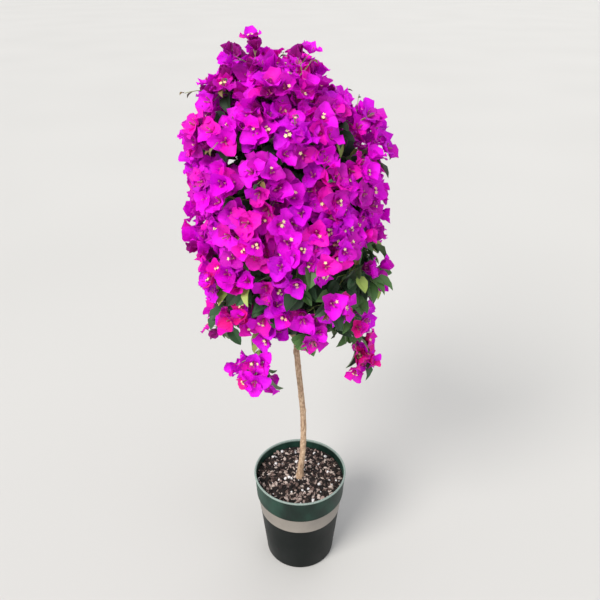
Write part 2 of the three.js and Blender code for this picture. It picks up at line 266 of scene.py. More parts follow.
def wrapped_sleeve():
    """A ring of film drawn up the body's taper, with its slack pressed in, and then its thickness."""
    heights = np.linspace(band_low.z, band_high.z, sleeve_steps + 1)
    sleeve = turned("pot_sleeve", [(body_radius(z), z) for z in heights], sleeve_segments, "NOTHING")
    for vertex in sleeve.data.vertices:
        azimuth = math.atan2(vertex.co.y, vertex.co.x)
        x, y = film_waves["round"] * math.cos(azimuth), film_waves["round"] * math.sin(azimuth)
        slack = film_slack * (1 + noise.noise((x, y, film_waves["per_metre"] * vertex.co.z)))
        beyond = math.remainder(azimuth - overlap["azimuth"], math.tau)
        double = film_thickness if abs(beyond) < overlap["width"] / 2 else 0
        grow = 1 + (film_stand_off + slack + double) / body_radius(vertex.co.z)
        vertex.co.x *= grow
        vertex.co.y *= grow
    shell = sleeve.modifiers.new("film", "SOLIDIFY")
    shell.thickness = film_thickness
    shell.offset = -1
    bpy.ops.object.modifier_apply(modifier=shell.name)
    return smooth(sleeve)


def film_plastic():
    """Plain film: an even satin grey-beige, with a barely visible bloom of dust."""
    material, shader, place = new_material("polypropylene film, satin, dusty", 0.45)
    clouds = add_node(material, "TexNoise", {"Vector": place, "Scale": 1 / (45 * mm), "Detail": 3})
    greys = [(0.3, "857E77"), (0.5, "8C857D"), (0.7, "938C84")]
    grey = add_node(material, "ValToRGB", {"Fac": clouds}, greys)
    rough = add_node(material, "MapRange", {"Value": clouds, "To Min": 0.35, "To Max": 0.7})
    feed(shader, {"Base Color": grey, "Roughness": rough})
    return material


sleeve = wrapped_sleeve()
sleeve.data.materials.append(film_plastic())
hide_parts("pot_band")
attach(sleeve, "root")

# Potting mix: composted bark and peat, pressed in by hand and uneven. It is a plug with a rough top,
# under loose chips of bark and white grains of perlite that lie half sunk in it.
soil_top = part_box("potting_mix")[1].z
soil_play = 0.4 * mm
soil_inset = pot_wall + soil_play
soil_radius = collar_radius_at(soil_top) - pot_wall - soil_play
soil_rings = 44
soil_segments = 120
soil_relief = 3.5 * mm
soil_lumps = [
    {"per_metre": 70, "share": 1, "seed": 3.1},
    {"per_metre": 210, "share": 0.55, "seed": 7.7},
]
soil_mound = 30 * mm
lumps_share = 0.9
mound_share = 0.5
random = np.random.default_rng(7)


def soil_height(x, y):
    """Height of the mix: level on the whole, drawn up a little to the stem and broken by lumps."""
    lumps = 0
    for lump in soil_lumps:
        pitch = lump["per_metre"]
        lumps += lump["share"] * noise.noise((x * pitch, y * pitch, lump["seed"]))
    mound = math.exp(-math.hypot(x, y) / soil_mound)
    return soil_top - soil_relief + soil_relief * (lumps_share * lumps + mound_share * mound)


def plug_of_mix():
    """The plug, turned like the pot's inside, with its flat top made of rings and roughened."""
    step_foot = collar_foot - collar_step
    profile = [
        (body_radius(soil_inset) - soil_inset, soil_inset),
        (body_radius(step_foot) - soil_inset, step_foot),
        (collar_radius_at(collar_foot) - soil_inset, collar_foot),
        (soil_radius, soil_top - 2 * soil_relief),
    ]
    rings = [(soil_radius * (1 - k / soil_rings), soil_top - soil_relief) for k in range(soil_rings)]
    plug = turned("potting_mix_bed", profile + rings, soil_segments)
    for vertex in plug.data.vertices:
        if vertex.co.z > soil_top - 1.5 * soil_relief:
            vertex.co.z = min(soil_height(vertex.co.x, vertex.co.y), soil_top)
    return smooth(plug, 60)


def mix_colour():
    """Damp peat and fine bark: very dark, matt, with paler fibres and a grain of about 2 mm."""
    material, shader, place = new_material("composted bark and peat, damp", 0.95)
    crumb = {"Vector": place, "Scale": 1 / (2.1 * mm), "Detail": 4, "Roughness": 0.65}
    grain = add_node(material, "TexNoise", crumb)
    browns = [(0.38, "080605"), (0.52, "1C1412"), (0.66, "382B26"), (0.8, "62524A")]
    brown = add_node(material, "ValToRGB", {"Fac": grain}, browns)
    relief = add_node(material, "Bump", {"Height": grain, "Strength": 0.9, "Distance": 2 * mm})
    feed(shader, {"Base Color": brown, "Normal": relief})
    return material


bed = plug_of_mix()
bed.data.materials.append(mix_colour())
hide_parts("potting_mix")
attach(bed, "root")


def piece_of(name, verts, faces, shades=None, degrees=60):
    """A mesh from arrays, for the many small things that are modelled once and dealt out in hundreds."""
    mesh = bpy.data.meshes.new(name)
    mesh.from_pydata(np.asarray(verts).tolist(), [], faces)
    piece = bpy.data.objects.new(name, mesh)
    bpy.context.scene.collection.objects.link(piece)
    if shades is not None:
        mesh.polygons.foreach_set("material_index", np.asarray(shades, np.int32))
    return smooth(piece, degrees)


class Heap:
    """Copies of small templates, gathered into one list of points and of faces, each with its shade."""

    def __init__(self):
        self.verts, self.faces, self.shades, self.count = [], [], [], 0

    def add(self, points, faces, shades=0):
        """Adds a copy. Its shades are one for each face, or one for all."""
        self.verts.append(points)
        self.faces += [tuple(corner + self.count for corner in face) for face in faces]
        self.shades += shades if isinstance(shades, list) else [shades] * len(faces)
        self.count += len(points)

    def finished(self, name, degrees=60):
        return piece_of(name, np.concatenate(self.verts), self.faces, self.shades, degrees)


def turned_by(angles):
    """A rotation matrix from turns about X, Y and Z, in that order."""
    (cx, cy, cz), (sx, sy, sz) = np.cos(angles), np.sin(angles)
    about_x = np.array([[1, 0, 0], [0, cx, -sx], [0, sx, cx]])
    about_y = np.array([[cy, 0, sy], [0, 1, 0], [-sy, 0, cy]])
    about_z = np.array([[cz, -sz, 0], [sz, cz, 0], [0, 0, 1]])
    return about_z @ about_y @ about_x


def ball_template():
    start_alone()
    bpy.ops.mesh.primitive_ico_sphere_add(subdivisions=1, radius=1)
    ball = bpy.context.object
    points = np.array([v.co[:] for v in ball.data.vertices])
    faces = [tuple(polygon.vertices) for polygon in ball.data.polygons]
    bpy.data.objects.remove(ball)
    return points, faces


chip_shades = ["17100E", "3A2B26", "6A5750", "9C8880", "C2B2A8"]
chip_mix = {
    "count": 1150,
    "length": (5 * mm, 21 * mm),
    "flatness": (0.25, 0.6),
    "sink": (-0.3, 0.9),
    "shares": [0.3, 0.22, 0.16, 0.17, 0.15],
}
perlite_mix = {
    "count": 60,
    "length": (5 * mm, 15 * mm),
    "flatness": (0.5, 1),
    "sink": (-0.1, 0.6),
    "shares": [1],
}
crumb_knocks = (0.7, 1.15)
crumb_leans = (0.5, 0.6)
wall_gap = 5 * mm
ball_points, ball_faces = ball_template()


def scattered(mix):
    """Broken lumps: balls knocked out of round, stretched, turned and laid on the mix."""
    heap = Heap()
    for _ in range(mix["count"]):
        out = (soil_radius - wall_gap) * math.sqrt(random.random())
        azimuth = math.tau * random.random()
        x, y = out * math.cos(azimuth), out * math.sin(azimuth)
        half = random.uniform(*mix["length"]) / 2
        sizes = half * np.array([1, random.uniform(*mix["flatness"]), random.uniform(*mix["flatness"])])
        broken = ball_points * random.uniform(*crumb_knocks, (len(ball_points), 1)) * sizes
        leans = [random.uniform(-lean, lean) for lean in crumb_leans]
        turn = turned_by([*leans, math.tau * random.random()])
        centre = (x, y, soil_height(x, y) + sizes[2] * random.uniform(*mix["sink"]))
        shade = random.choice(len(mix["shares"]), p=mix["shares"])
        heap.add(broken @ turn.T + centre, ball_faces, int(shade))
    return heap


def grained(name, hex_colour, roughness, ior, grain):
    """One plain tone on a surface that a grain of a real size breaks up. Returns the parts to add to."""
    material, shader, place = new_material(name, roughness, ior)
    pattern = {"Vector": place, "Scale": 1 / grain["size"], "Detail": grain["detail"]}
    height = add_node(material, "TexNoise", pattern)
    lift = {"Height": height, "Strength": grain["strength"], "Distance": grain["depth"]}
    feed(shader, {"Base Color": linear(hex_colour), "Normal": add_node(material, "Bump", lift)})
    return material, shader, height


def crumb_material(name, hex_colour, roughness):
    """A chip or grain: matt and pitted, in one tone that its pits only shade a little."""
    pits = {"size": 1.1 * mm, "detail": 2, "strength": 0.6, "depth": 0.6 * mm}
    return grained(name, hex_colour, roughness, 1.5, pits)[0]


chips = scattered(chip_mix).finished("bark_chips", 25)
for k, shade in enumerate(chip_shades):
    chips.data.materials.append(crumb_material(f"bark chip, shade {k + 1}", shade, 0.85))
perlite = scattered(perlite_mix).finished("perlite_grains", 25)
perlite.data.materials.append(crumb_material("perlite, expanded white grains", "E9E6E6", 0.9))
for piece in (chips, perlite):
    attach(piece, "root")

# Stem and boughs: living wood under thin pale tan bark. The stem stands from the mix to its fork with a
# shallow sway and a small flare, the boughs leave its top, and old side shoots have left low knots.
fork_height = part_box("stem")[1].z
stem_radii = (8.6 * mm, 7 * mm)
stem_sunk = 4 * mm
stem_step = 1.5 * mm
stem_sides = 40
flare_radius = 4.5 * mm
flare_rise = 14 * mm
stem_sway = {"side": 10 * mm, "side_angle": 5.3, "front": 7 * mm, "front_angle": 3.6}
stem_knots = {"count": 9, "turn": 2.4, "from": 0.08, "over": 0.8, "sizes": (3.2 * mm, 4.5 * mm, 5.8 * mm)}
bough_radii = (5.2 * mm, 3.6 * mm)
leader_radii = (7 * mm, 4 * mm)
bough_collar = {"height": 2.2 * mm, "at": 0.04, "width": 0.07}
bough_knot = {"turn": 2.1, "at": 0.4, "size": 2.6 * mm}
bough_steps = 90
bough_sides = 20
bough_bend = {"out": 0.6, "up": 0.34}
leader_bend = 0.5
clearance = 0.3 * mm
crown_middle = 1106 * mm
crown_half_height = 322 * mm
crown_radius = 218 * mm
crown_power = 2.4
crown_narrowing = 0.14
crown_offset = -12 * mm
crown_lean = -42 * mm
crown_lean_power = 1.5
crown_lumps = [(0.08, 3, 5), (0.06, 5, -4)]
lower_ring = {
    "level": "lower",
    "sides": ["front_right", "right", "back", "left", "front_left"],
    "turn": -54,
    "foot_height": 752 * mm,
    "foot_step": 12 * mm,
    "tip": (72 * mm, 862 * mm),
    "stem_length": 80 * mm,
}
upper_ring = {
    "level": "upper",
    "sides": ["front", "right", "back", "left"],
    "turn": -90,
    "foot_height": 808 * mm,
    "foot_step": 8 * mm,
    "tip": (66 * mm, 1020 * mm),
    "stem_length": 112 * mm,
}
top_mass = {"tip_height": 1215 * mm, "stem_length": 112 * mm}
bark_turns = 3
bark_fissures = {"per_metre": 28, "depth": 0.16}
bark_grain = {"per_metre": 95, "depth": 0.035, "turns": 2.6}
bark_waves = {"per_metre": 18, "depth": 0.05, "turns": 0.35}
bark_swell = 0.05
stem_seed = 1.7
bough_seed = 3.3
bough_seed_step = 1.9
knot_form = {"swell": 0.55, "dimple": 0.3, "dimple_narrower": 2.4, "drawn_out": 0.8}


def stem_middle(z):
    t = (z - soil_top) / (fork_height - soil_top)
    side = stem_sway["side"] * math.sin(stem_sway["side_angle"] * t)
    return np.array([side, stem_sway["front"] * math.sin(stem_sway["front_angle"] * t), z])


def crown_axis(z):
    """The crown's own middle line, which leans at the top."""
    rise = max(0, (z - crown_middle + crown_half_height) / (2 * crown_half_height))
    return np.array([crown_offset + crown_lean * rise**crown_lean_power, 0, z])


def unit(vector):
    return vector / np.linalg.norm(vector)


def between(ends, share):
    return ends[0] + share * (ends[1] - ends[0])


def curve_points(foot, bend, tip, steps):
    t = np.linspace(0, 1, steps + 1)[:, None]
    return (1 - t) ** 2 * foot + 2 * t * (1 - t) * bend + t**2 * tip


def place_masses():
    """Each mass: its name, its bough's three points, the root of its stem past the tip, and its hub."""
    placed = []
    for ring in (lower_ring, upper_ring):
        count = len(ring["sides"])
        for k, side in enumerate(ring["sides"]):
            rank = (2 * k) % count if count % 2 else 2 * (k % 2) + k // 2
            foot = stem_middle(ring["foot_height"] + ring["foot_step"] * rank)
            azimuth = math.radians(ring["turn"] + 360 * k / count)
            out, height = ring["tip"]
            tip = crown_axis(height) + [out * math.cos(azimuth), out * math.sin(azimuth), 0]
            along = tip - foot
            bend = foot + along * [bough_bend["out"], bough_bend["out"], bough_bend["up"]]
            placed.append((f"{ring['level']}_{side}", foot, bend, tip, ring["stem_length"]))
    foot = stem_middle(fork_height + clearance)
    tip = crown_axis(top_mass["tip_height"])
    bend = foot + np.array([0, 0, leader_bend * (tip[2] - foot[2])])
    placed.append(("top", foot, bend, tip, top_mass["stem_length"]))
    masses = []
    for name, foot, bend, tip, stem_length in placed:
        heading = unit(tip - bend)
        root = tip + clearance * heading
        hub = root + stem_length * heading
        masses.append({"name": name, "bough": (foot, bend, tip), "root": root, "hub": hub})
    return masses


def side_frame(points):
    """Two directions across a line of points at each of them, without twist along it."""
    tangents = np.gradient(points, axis=0)
    tangents /= np.linalg.norm(tangents, axis=1)[:, None]
    across = unit(np.cross(tangents[0], [0.31, 0.94, 0.17]))
    first, second = [], []
    for tangent in tangents:
        across = unit(across - tangent * across.dot(tangent))
        first.append(across)
        second.append(np.cross(tangent, across))
    return np.array(first), np.array(second)


def tube(points, radii, sides):
    """A closed limb through points, as points and faces. Each point has one radius, or one a side."""
    first, second = side_frame(points)
    turns = np.arange(sides) * math.tau / sides
    ring = np.cos(turns)[None, :, None] * first[:, None] + np.sin(turns)[None, :, None] * second[:, None]
    out = np.asarray(radii, float).reshape(len(points), -1, 1)
    faces = []
    for k in range(len(points) - 1):
        for j in range(sides):
            a, b = k * sides + j, k * sides + (j + 1) % sides
            faces.append((a, b, b + sides, a + sides))
    faces.append(tuple(reversed(range(sides))))
    faces.append(tuple(range((len(points) - 1) * sides, len(points) * sides)))
    return (points[:, None] + out * ring).reshape(-1, 3), faces


def limb_piece(name, points, radii, sides, relief):
    """A barked limb along points. relief gives how far the bark lifts at an azimuth and a run."""
    run = np.concatenate([[0], np.cumsum(np.linalg.norm(np.diff(points, axis=0), axis=1))])
    turns = np.arange(sides) * math.tau / sides
    barked = [[radius + relief(turn, at, radius) for turn in turns] for at, radius in zip(run, radii)]
    limb = piece_of(name, *tube(points, barked, sides))
    runs = limb.data.uv_layers.new(name="bark_run")
    for loop in limb.data.loops:
        k, j = divmod(loop.vertex_index, sides)
        runs.data[loop.index].uv = (j / sides, run[k])
    return limb


def bark_relief(seed, knots):
    """Shallow fissures that run along the wood, a finer grain, and a swelling at each old knot."""

    def relief(turn, run, radius):
        x, y = bark_turns * math.cos(turn), bark_turns * math.sin(turn)
        fissures = abs(noise.noise((x + seed, y, run * bark_fissures["per_metre"])))
        fine_x, fine_y = bark_grain["turns"] * x, bark_grain["turns"] * y
        grain = noise.noise((fine_x, fine_y + seed, run * bark_grain["per_metre"]))
        waves = noise.noise((seed, bark_waves["turns"] * x, run * bark_waves["per_metre"]))
        lift = bark_swell - bark_fissures["depth"] * fissures
        lift = radius * (lift + bark_grain["depth"] * grain + bark_waves["depth"] * waves)
        for knot_turn, knot_run, size in knots:
            aside = radius * math.remainder(turn - knot_turn, math.tau)
            away = math.hypot(aside, knot_form["drawn_out"] * (run - knot_run)) / size
            dimple = knot_form["dimple"] * math.exp(-((knot_form["dimple_narrower"] * away) ** 2))
            lift += size * (knot_form["swell"] * math.exp(-(away**2)) - dimple)
        return lift

    return relief


def bark_finish():
    """Thin tan bark: pale corky ridges over browner fissures, drawn out along the wood, and matt."""
    material, shader, place = new_material("bougainvillea bark, thin and fissured", 0.8)
    wrapped = add_node(material, "UVMap", {}, uv_map="bark_run")
    drawn_out = add_node(material, "Mapping", {"Vector": wrapped, "Scale": (9, 1 / (14 * mm), 1)})
    pattern = {"Vector": drawn_out, "Scale": 1, "Detail": 6, "Roughness": 0.65}
    strands = add_node(material, "TexNoise", pattern)
    patches = add_node(material, "TexNoise", {"Vector": place, "Scale": 1 / (42 * mm), "Detail": 3})
    both = add_node(material, "Mix", {0: 0.25, 2: strands, 3: patches}, data_type="FLOAT")
    tans = [(0.32, "745A48"), (0.44, "A2846A"), (0.54, "C4A688"), (0.68, "DCC8AC")]
    tan = add_node(material, "ValToRGB", {"Fac": both}, tans)
    relief = add_node(material, "Bump", {"Height": strands, "Strength": 0.7, "Distance": 0.8 * mm})
    feed(shader, {"Base Color": tan, "Normal": relief})
    return material


def stem_piece():
    """The stem, from a little under the mix's surface, with its flare and its row of knots."""
    height = fork_height - soil_top
    heights = np.arange(soil_top - stem_sunk, fork_height + 1e-6, stem_step)
    points = np.array([stem_middle(z) for z in heights])
    t = np.clip((heights - soil_top) / height, 0, 1)
    flare = flare_radius * np.exp(-np.maximum(heights - soil_top, 0) / flare_rise)
    knots = []
    for k in range(stem_knots["count"]):
        run = (stem_knots["from"] + stem_knots["over"] * k / stem_knots["count"]) * height
        knots.append((k * stem_knots["turn"], run, stem_knots["sizes"][k % len(stem_knots["sizes"])]))
    radii = between(stem_radii, t) + flare
    return limb_piece("stem_bark", points, radii, stem_sides, bark_relief(stem_seed, knots))


def bough_piece(mass, seed):
    """A bough whose foot swells into a collar where it leaves the stem, tapering to its tip."""
    is_leader = mass["name"] == "top"
    points = curve_points(*mass["bough"], bough_steps)
    t = np.linspace(0, 1, len(points))
    radii = between(leader_radii if is_leader else bough_radii, t)
    if not is_leader:
        radii += bough_collar["height"] * np.exp(-(((t - bough_collar["at"]) / bough_collar["width"]) ** 2))
    knot_run = bough_knot["at"] * np.linalg.norm(points[-1] - points[0])
    knots = [(bough_knot["turn"] * seed, knot_run, bough_knot["size"])]
    return limb_piece(f"bough_{mass['name']}_bark", points, radii, bough_sides, bark_relief(seed, knots))


masses = place_masses()
bark = bark_finish()
stem = stem_piece()
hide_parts("stem")
boughs = [bough_piece(mass, bough_seed + bough_seed_step * k) for k, mass in enumerate(masses)]
for bough, mass in zip(boughs, masses):
    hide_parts("bough_" + mass["name"])
for limb in (stem, *boughs):
    limb.data.materials.append(bark)
    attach(limb, "root")

# Twigs: off each bough's short stem, shoots fork to ends spread evenly over the crown's skin, and strays
# outgrow it. Finer ones bunch round those ends with leafy hollows between, and a few young ones stand
# out past the blossom. They are smooth living wood, green when new and brown with age.
golden_angle = math.pi * (3 - math.sqrt(5))
shoot_count = 66
target_seed = 41
shoot_seed = 1000
stray_seed = 1200
reach_jitter = 0.17
pole_share = 0.16
fork_rule = {"slope": 0.7, "first": 0.2, "last": 0.8}
space_margin = 1.2 * mm
shoot_radius = 3 * mm
shortest_shoot = 12 * mm
strays = [
    {"azimuth": 215, "out": 50 * mm, "height": 1472 * mm},
    {"azimuth": 300, "out": 55 * mm, "height": 1456 * mm},
    {"azimuth": 5, "out": 105 * mm, "height": 1434 * mm},
    {"azimuth": 120, "out": 80 * mm, "height": 1452 * mm},
    {"azimuth": 348, "out": 170 * mm, "height": 1325 * mm},
    {"azimuth": 238, "out": 188 * mm, "height": 768 * mm},
    {"azimuth": 335, "out": 205 * mm, "height": 792 * mm},
    {"azimuth": 70, "out": 190 * mm, "height": 780 * mm},
    {"azimuth": 150, "out": 200 * mm, "height": 796 * mm},
]
inner_shoots = {"count": 150, "seed": 77, "turn": 1.3, "aside": 0.12, "reach": (0.45, 0.72)}
outer_shoots = {"count": 580, "seed": 78, "turn": 2.3, "aside": 0.12, "jitter": (0.07, 0.13)}
insets = {"lead": 35 * mm, "inner": 14 * mm, "outer": 20 * mm, "round_stray": 17.5 * mm}
bunch = {"radius": (47 * mm, 70 * mm), "crest": 0.03, "fall": 0.13, "edge": (0.8, 1.2), "lowest": -0.25}
hollow_reach = (0.76, 0.88)
young_shoots = {"count": 60, "seed": 83, "turn": 0.6, "aside": 0.3, "reach": (1.06, 1.12)}
young_band = (0.2, 0.9)
young_climb = 34 * mm
shoots_round_stray = 4
stray_spread = 46 * mm
stray_droop = [0, 0, 0.7]
reach_margin = 20 * mm
foot_radii = {"stemlet": 3.8 * mm, "lead": 2.2 * mm, "stray": 1.8 * mm, "fine": 1.3 * mm}
finest_radius = 1.1 * mm
stemlet_end = 3 * mm
twig_taper = 0.45
thinnest_end = 0.6 * mm
twig_sway = 0.22
twig_climb = [0, 0, 0.25]
twig_make = {
    "stemlet": {"shade": 0, "sides": 10, "steps": 2},
    "shoot": {"shade": 1, "sides": 6, "steps": 6},
    "stray": {"shade": 2, "sides": 6, "steps": 6},
    "inner": {"shade": 1, "sides": 4, "steps": 4},
    "outer": {"shade": 2, "sides": 5, "steps": 4},
    "hollow": {"shade": 2, "sides": 4, "steps": 4},
    "young": {"shade": 2, "sides": 5, "steps": 6},
}
twig_colours = {"older wood": "A08767", "ripening wood": "8C8A52", "green wood": "8FA85C"}
foliage_nodes = ["foliage_" + mass["name"] for mass in masses]


def seeded(seed):
    """A seeded source of numbers from 0 to 1, the same as the solids' own."""
    state = seed

    def draw():
        nonlocal state
        state = (state * 1664525 + 1013904223) % 2**32
        return state / 2**32

    return draw


def scatter(draw):
    """A random offset, up to a half each way along each axis."""
    return np.array([draw(), draw(), draw()]) - 0.5


def skin_point(direction, reach):
    """The crown's skin, as the point in a direction from the crown's middle."""
    across = math.hypot(direction[0], direction[1])
    azimuth = math.atan2(direction[1], direction[0])
    scale = (across**crown_power + abs(direction[2]) ** crown_power) ** (-1 / crown_power)
    rise = scale * direction[2]
    lumpy = 1 + sum(size * math.sin(waves * azimuth + up * rise) for size, waves, up in crown_lumps)
    out = crown_radius * (1 - crown_narrowing * rise) * scale * across * lumpy * reach
    z = crown_middle + crown_half_height * rise * reach
    return np.array([crown_axis(z)[0] + out * math.cos(azimuth), out * math.sin(azimuth), z])


def lattice(count, turn=0.0):
    """Directions spread evenly over the crown, fewer to each height near its poles."""
    for k in range(count):
        u = 1 - 2 * (k + 0.5) / count
        z = (1 - pole_share) * u + pole_share * u**3
        across = math.sqrt(1 - z * z)
        azimuth = k * golden_angle + turn
        yield np.array([across * math.cos(azimuth), across * math.sin(azimuth), z])


def nearest_fork(twigs, target):
    """The place on a mass's twigs from which the shoot to a target is shortest, some way back."""
    start = np.array([twig["from"] for twig in twigs])
    axis = np.array([twig["to"] for twig in twigs]) - start
    length = np.linalg.norm(axis, axis=1)
    axis /= length[:, None]
    offset = target - start
    along = np.einsum("ij,ij->i", offset, axis)
    beside = np.linalg.norm(offset - along[:, None] * axis, axis=1)
    back = along - fork_rule["slope"] * beside
    at = np.clip(back, fork_rule["first"] * length, fork_rule["last"] * length)
    forks = start + at[:, None] * axis
    return forks[int(np.argmin(np.linalg.norm(forks - target, axis=1)))]


def in_reach(point):
    """Whether a point is so far inside the solids' sides that what it carries hardly leaves them."""
    low, high = np.array(cad_box[0]) + reach_margin, np.array(cad_box[1]) - reach_margin
    return bool(((point > low) & (point < high))[:2].all())


def outer_end(direction, leads, draw):
    """An outer shoot's kind and reach: in a bunch round the nearest lead's end, or in a hollow."""
    on_skin = skin_point(direction, 1)
    away, reach = min((np.linalg.norm(on_skin - lead), reach) for lead, reach in leads)
    rise = min(max((direction[2] - bunch["lowest"]) / (1 - bunch["lowest"]), 0), 1)
    away /= between(bunch["radius"], rise)
    if away < between(bunch["edge"], draw()):
        jitter = between(outer_shoots["jitter"], rise) * (draw() - 0.5)
        return "outer", reach + (bunch["crest"] - bunch["fall"] * away**2 + jitter)
    return "hollow", between(hollow_reach, draw())


def aimed(shoots):
    """One by one, a kind's shoots: the number, the direction, the same set aside, and their draws."""
    draw = seeded(shoots["seed"])
    for k, direction in enumerate(lattice(shoots["count"], shoots["turn"])):
        yield k, direction, unit(direction + shoots["aside"] * scatter(draw)), draw


def grow_crown(masses):
    """All the twigs of the crown, each with its ends, its radius at the foot and its place in the rule."""
    hubs = np.array([mass["hub"] for mass in masses])
    thick, lead, fine = foot_radii["stemlet"], foot_radii["lead"], foot_radii["fine"]
    grown = [[{"from": m["root"], "to": m["hub"], "kind": "stemlet", "radius": thick}] for m in masses]

    def grow(skin, inset, margin, kind, radius, seed):
        own = int(np.argmin(np.linalg.norm(hubs - skin, axis=1)))
        end = skin + inset * unit(hubs[own] - skin)
        if kind == "young" and not in_reach(end):
            return
        for other in range(len(hubs)):
            across = hubs[other] - hubs[own]
            if other != own and (end - hubs[own] - across / 2).dot(unit(across)) > -margin:
                return
        start = nearest_fork(grown[own], end)
        if np.linalg.norm(end - start) > shortest_shoot:
            twig = {"from": start, "to": end, "kind": kind, "radius": radius, "draw": seeded(seed)}
            grown[own].append(twig)

    margin = space_margin + shoot_radius
    leads = []
    draw = seeded(target_seed)
    for k, direction in enumerate(lattice(shoot_count)):
        reach = 1 + reach_jitter * (draw() - 0.5)
        leads.append((skin_point(direction, 1), reach))
        grow(skin_point(direction, reach), insets["lead"], margin, "shoot", lead, shoot_seed + k)
    for k, stray in enumerate(strays):
        azimuth = math.radians(stray["azimuth"])
        aside = stray["out"] * np.array([math.cos(azimuth), math.sin(azimuth), 0])
        stray["skin"] = crown_axis(stray["height"]) + aside
        grow(stray["skin"], insets["lead"], margin, "stray", foot_radii["stray"], stray_seed + k)
    for k, _, aim, draw in aimed(inner_shoots):
        skin = skin_point(aim, between(inner_shoots["reach"], draw()))
        grow(skin, insets["inner"], 0, "inner", fine, 2 * shoot_seed + k)
    for k, _, aim, draw in aimed(outer_shoots):
        kind, reach = outer_end(aim, leads, draw)
        grow(skin_point(aim, reach), insets["outer"], 0, kind, fine, 3 * shoot_seed + k)
    for k, direction, aim, draw in aimed(young_shoots):
        skin = skin_point(aim, between(young_shoots["reach"], draw()))
        if young_band[0] < direction[2] < young_band[1]:
            grow(skin + [0, 0, young_climb], 0, 0, "young", fine, 4 * shoot_seed + k)
    draw = seeded(stray_seed)
    for k, stray in enumerate(strays):
        for j in range(shoots_round_stray):
            skin = stray["skin"] + stray_spread * (2 * scatter(draw) - stray_droop)
            seed = stray_seed + 50 * (k + 1) + j
            grow(skin, insets["round_stray"], 0, "stray", finest_radius, seed)
    return [twig for twigs in grown for twig in twigs]


def draw_out(twig):
    """Gives a twig its line, a curve that sways and climbs a little. Returns its points and faces."""
    along = twig["to"] - twig["from"]
    is_stemlet = twig["kind"] == "stemlet"
    sway = np.zeros(3) if is_stemlet else scatter(twig["draw"]) + twig_climb
    bend = twig["from"] + 0.5 * along + twig_sway * np.linalg.norm(along) * sway
    make = twig_make[twig["kind"]]
    twig["line"] = curve_points(twig["from"], bend, twig["to"], make["steps"])
    end = stemlet_end if is_stemlet else max(twig_taper * twig["radius"], thinnest_end)
    return tube(twig["line"], np.linspace(twig["radius"], end, len(twig["line"])), make["sides"])


def twig_finish(name, hex_colour):
    """Young wood: smooth and faintly ribbed, browner with age, green while it still grows."""
    ribs = {"size": 3.1 * mm, "detail": 3, "strength": 0.4, "depth": 0.4 * mm}
    return grained("bougainvillea twig, " + name, hex_colour, 0.6, 1.5, ribs)[0]


crown_twigs = grow_crown(masses)
twig_heap = Heap()
for twig in crown_twigs:
    twig_heap.add(*draw_out(twig), twig_make[twig["kind"]]["shade"])

# Sprays: what each twig carries. High in the crown most end in bract clusters over a few leaves, in the
# skirt most end in leaves. Their places, sizes and colours are dealt out here, and the clusters' thin
# green stalks are made with the twigs. The next sections make the leaves and the clusters.
blossom = {"from": 785 * mm, "over": 340 * mm, "least": 0.2, "most": 0.97}
bract_colours = {
    "magenta": "F006E6",
    "fuchsia": "F60CBE",
    "violet": "D804E0",
    "deep": "C204B0",
    "budding": "8A0672",
    "rose": "E8148C",
}
bract_shares_high = [0.47, 0.16, 0.2, 0.17, 0, 0]
bract_shares_low = [0.42, 0.24, 0.1, 0.12, 0, 0.12]
rose_below = 1000 * mm
budding_shade = 4
# Leaf greens: sunlit is painted sunlight and dark is painted shade; green, deep and young are the leaves'
# own tones.
leaf_colours = {
    "green": "4C743A",
    "dark": "294129",
    "sunlit": "A2B85E",
    "deep": "375E39",
    "young": "7C6A3C",
}
# Outer leaves are dealt all the greens, among them the painted sunlight and the painted shade.
leaf_shares_outside = [0.32, 0.29, 0.15, 0.24, 0]
# Leaves inside the crown are dealt mostly the dark green, a painted shade for the shade within it.
leaf_shares_inside_painted_shade = [0.1, 0.7, 0, 0.2, 0]
young_shade = 4
own_shade_share = 0.7
top_from = crown_middle + 0.8 * crown_half_height
budding_shares = {"sprig": 0.75, "top": 0.35, "below": 0.1}
bud_openness = 0.3
openness_range = (0.28, 0.98)
flowers_out = [0.54, 0.26, 0.14, 0.06]
cluster_counts = {"stray": (2, 4), "other": (2, 4.9)}  # drawn between these and rounded down
cluster_sizes = {"bud": 0.6, "sprig": 0.72, "other": 0.86, "more": 0.32}
cluster_step = 10 * mm
cluster_turn = 2.2
cluster_gap = 17 * mm
cluster_tilts = {"end": 0.3, "side": 1}
cluster_stalks = {"end": 8 * mm, "side": (14 * mm, 30 * mm), "radii": [0.8 * mm, 0.7 * mm, 0.6 * mm]}
stalk_arch = [0, 0, 1.5 * mm]
stalk_sunward = 0.35
cluster_aim = {"along": 0.5, "sunward": 0.8, "up": 0.3, "aside": 0.9, "least_rise": 0.1}
leaf_spacing = 6 * mm
leaf_spacing_shares = {"sparse": 3, "under_blossom": 1.8, "close": 1}
leaf_spacing_jitter = (0.75, 1.25)
leaves_from = 20 * mm
leaves_over = {"flowering": 72 * mm, "leafy": 95 * mm}
leafless_foot = 6 * mm
leaf_sizes = (0.72, 1.14)
tip_leaves = {"count": 2, "smallest": 0.42, "step": 0.2, "tinted": 0.18}
young_tip_leaves = {"count": 4, "smallest": 0.26, "step": 0.09, "tinted": 0.5}
leaf_aim = {"tilt": 1.1, "sunward": 0.35, "droop": (0.45, 0.95), "roll": 0.7}
leaf_facing = {"sunward": 0.75, "up": 0.7, "aside": 0.7}
inside_kinds = ("inner", "hollow")
cluster_sites, leaf_sites = [], []


def side_of(axis, azimuth):
    """The direction across an axis at an azimuth round it."""
    first = unit(np.cross([0.31, 0.17, 0.94], axis))
    return math.cos(azimuth) * first + math.sin(azimuth) * np.cross(axis, first)


def leaning(axis, tilt, azimuth):
    return unit(math.cos(tilt) * axis + math.sin(tilt) * side_of(axis, azimuth))


